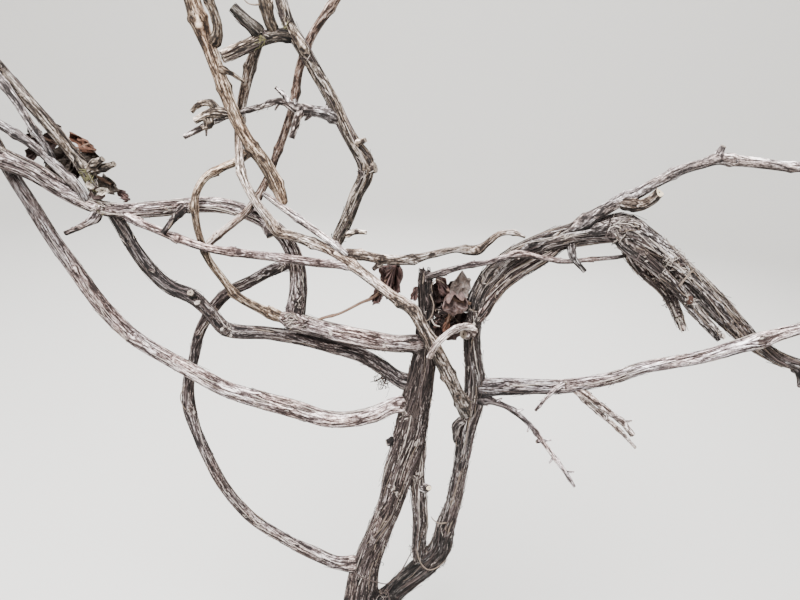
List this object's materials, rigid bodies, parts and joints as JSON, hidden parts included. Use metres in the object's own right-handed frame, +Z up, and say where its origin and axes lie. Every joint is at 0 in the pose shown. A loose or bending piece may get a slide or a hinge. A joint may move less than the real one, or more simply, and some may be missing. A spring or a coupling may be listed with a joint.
{
  "type": "grapevine",
  "caption": "Bare old grapevine trained flat: a short trunk with a root flare, two shaggy stems, long bent arms, young canes, pruned spurs and a few dry leaves.",
  "frame": {"origin": "middle of the trunk's flat cut at ground level", "axes": "+Z up, +X to the right along the upright plane that the vine is trained in, +Y away from the viewer"},
  "size_m": [1.192, 0.1075, 1.3646],
  "materials": {
    "old_bark": "shaggy dark grey-brown bark in long loose strips, split down to dark cracks",
    "arm_bark": "fibrous weathered bark, greyish pink, with pale strips and dark grooves along the limb",
    "cane_bark": "tan to buff cane bark with fine lengthwise fibre and slightly darker nodes",
    "dead_spur": "weathered grey wood of pruned stubs with cream cut faces",
    "dead_twig": "dry grey dead twigs, dull",
    "young_twig": "pale smooth bark of a thin shoot",
    "dry_leaf": "dull reddish brown curled dry leaf, paler on the veins"
  },
  "bodies": {
    "root": {"trunk": "old_bark", "left_stem": "old_bark", "stem_head": "old_bark", "right_stem_1": "old_bark", "right_stem_2": "old_bark", "middle_stem": "old_bark", "low_arm_1": "arm_bark", "low_arm_2": "arm_bark", "low_arm_3": "arm_bark", "arc_arm_1": "arm_bark", "arc_arm_2": "arm_bark", "arc_arm_3": "arm_bark", "arm_a": "arm_bark", "arm_b_1": "arm_bark", "arm_b_2": "arm_bark", "hook_cane_1": "cane_bark", "hook_cane_2": "cane_bark", "left_cordon_1": "arm_bark", "left_cordon_2": "arm_bark", "left_cordon_3": "arm_bark", "mid_cane": "cane_bark", "cross_cane_1": "cane_bark", "cross_cane_2": "cane_bark", "cross_cane_3": "cane_bark", "upper_spray": "cane_bark", "upper_thin_cane": "cane_bark", "top_left_cane": "cane_bark", "top_limb_1": "arm_bark", "top_limb_2": "arm_bark", "top_side_limb": "arm_bark", "top_stub": "arm_bark", "top_middle_cane": "cane_bark", "red_cane_1": "cane_bark", "red_cane_2": "cane_bark", "upper_left_cane": "cane_bark", "upper_left_low_cane": "cane_bark", "upper_left_thin_cane": "cane_bark", "right_cordon_1": "old_bark", "right_cordon_2": "old_bark", "right_fork": "old_bark", "right_second_limb": "arm_bark", "right_third_limb": "arm_bark", "upper_right_cane": "cane_bark", "cut_stub": "dead_spur", "thin_cane": "cane_bark", "right_arm_1": "arm_bark", "right_arm_2": "arm_bark", "hooked_spur": "dead_spur", "dead_twigs": "dead_twig", "upper_spurs": "dead_twig", "thin_shoot": "young_twig", "right_twigs": "dead_twig", "dry_leaves_low": "dry_leaf", "dry_leaves_head": "dry_leaf", "dry_leaves_left": "dry_leaf"}
  },
  "joints": []
}
